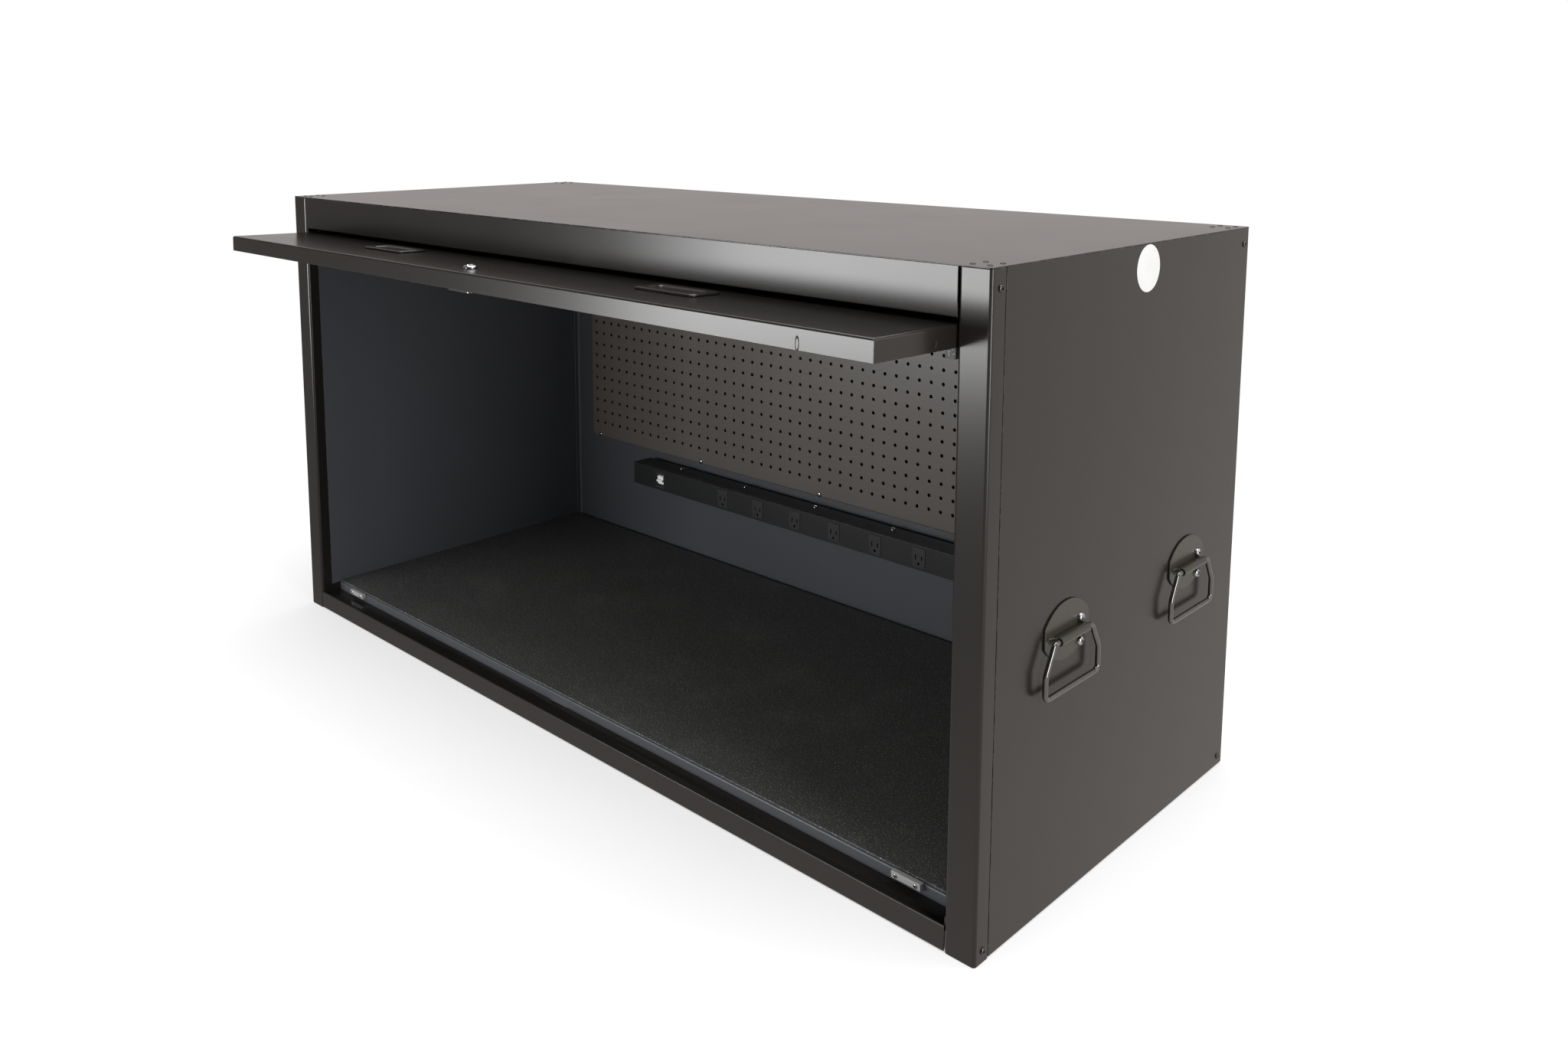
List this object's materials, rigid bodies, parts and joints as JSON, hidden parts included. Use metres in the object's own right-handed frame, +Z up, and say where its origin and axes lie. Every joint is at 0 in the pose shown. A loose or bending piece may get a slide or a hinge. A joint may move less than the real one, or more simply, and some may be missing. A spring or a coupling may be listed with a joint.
{
  "type": "tool cabinet",
  "caption": "Wide steel tool cabinet with a slide-in lift door, perforated back panel, power strip, floor mat and swinging side handles.",
  "frame": {"origin": "on the resting surface under the centre of the footprint, on the underside of the middle floor channel", "axes": "+X to the right seen from the front, +Y to the back, +Z up"},
  "size_m": [1.583, 0.7923, 0.803],
  "materials": {
    "shell_paint": "satin",
    "inner_paint": "satin",
    "bare_steel": "satin",
    "chrome": "polished",
    "mat_rubber": "matte",
    "black_plastic": "matte",
    "white_plastic": "gloss"
  },
  "bodies": {
    "cabinet": {"back_panel": "shell_paint", "back_wall": "inner_paint", "cable_grommet": "mat_rubber", "catch_screws": "chrome", "corner_rivets": "shell_paint", "corner_trims": "inner_paint", "floor_mat": "mat_rubber", "floor_pan": "inner_paint", "floor_supports": "shell_paint", "front_post_left": "shell_paint", "front_post_right": "shell_paint", "front_sill": "shell_paint", "handle_bolts": "chrome", "handle_plate_left_front": "shell_paint", "handle_plate_left_rear": "shell_paint", "handle_plate_right_front": "shell_paint", "handle_plate_right_rear": "shell_paint", "magnetic_catches": "white_plastic", "pegboard": "inner_paint", "pegboard_screws": "chrome", "round_label": "white_plastic", "side_liner_left": "inner_paint", "side_liner_right": "inner_paint", "side_panel_left": "shell_paint", "side_panel_right": "shell_paint", "side_screws": "chrome", "strip_brackets": "bare_steel", "strip_end_caps": "black_plastic", "strip_housing": "inner_paint", "strip_screws": "chrome", "strip_sockets": "black_plastic", "switch_bezel": "black_plastic", "top_braces": "inner_paint", "top_panel": "shell_paint", "top_rail": "shell_paint", "track_brackets": "bare_steel", "track_buffers": "mat_rubber", "track_left": "bare_steel", "track_right": "bare_steel"},
    "carriage": {"carriage_right": "black_plastic", "carriage_left": "black_plastic", "hinge_arms": "bare_steel", "hinge_pins": "bare_steel", "cross_bar": "bare_steel"},
    "door": {"door_skin": "shell_paint", "door_inner_panel": "inner_paint", "door_ribs": "inner_paint", "door_bushes": "bare_steel", "door_pull_right": "shell_paint", "door_pull_left": "shell_paint", "door_buffers": "mat_rubber", "lock_body": "chrome", "lock_nut": "chrome"},
    "lock_core": {"lock_plug": "chrome", "lock_cam": "chrome"},
    "rocker": {"switch_rocker": "white_plastic"},
    "bail_right_front": {"bail_right_front": "shell_paint"},
    "bail_right_rear": {"bail_right_rear": "shell_paint"},
    "bail_left_front": {"bail_left_front": "shell_paint"},
    "bail_left_rear": {"bail_left_rear": "shell_paint"}
  },
  "joints": [
    {"name": "door_slide", "type": "slide", "parent": "cabinet", "child": "carriage", "axis": [0, -0.9996, 0.0293], "range_m": [0, 0.536]},
    {"name": "door_tilt", "type": "hinge", "parent": "carriage", "child": "door", "pos_m": [0, 0.22382, 0.71082], "axis": [1, 0, 0], "range_deg": [0, 91.3]},
    {"name": "lock_turn", "type": "hinge", "parent": "door", "child": "lock_core", "pos_m": [-0.037, -0.42901, 0.72564], "axis": [0, 0.0227, 0.9997], "range_deg": [0, 90]},
    {"name": "switch_rock", "type": "hinge", "parent": "cabinet", "child": "rocker", "pos_m": [-0.391, 0.2615, 0.204], "axis": [1, 0, 0], "range_deg": [-14, 0]},
    {"name": "bail_swing_right_front", "type": "hinge", "parent": "cabinet", "child": "bail_right_front", "pos_m": [0.786, -0.148, 0.348], "axis": [0, -1, 0], "range_deg": [0, 95]},
    {"name": "bail_swing_right_rear", "type": "hinge", "parent": "cabinet", "child": "bail_right_rear", "pos_m": [0.786, 0.169, 0.348], "axis": [0, -1, 0], "range_deg": [0, 95]},
    {"name": "bail_swing_left_front", "type": "hinge", "parent": "cabinet", "child": "bail_left_front", "pos_m": [-0.786, -0.148, 0.348], "axis": [0, 1, 0], "range_deg": [0, 95]},
    {"name": "bail_swing_left_rear", "type": "hinge", "parent": "cabinet", "child": "bail_left_rear", "pos_m": [-0.786, 0.169, 0.348], "axis": [0, 1, 0], "range_deg": [0, 95]}
  ],
  "couplings": [
    {"joint": "door_slide", "follows": "door_tilt", "m_per_rad": 0.33634}
  ]
}
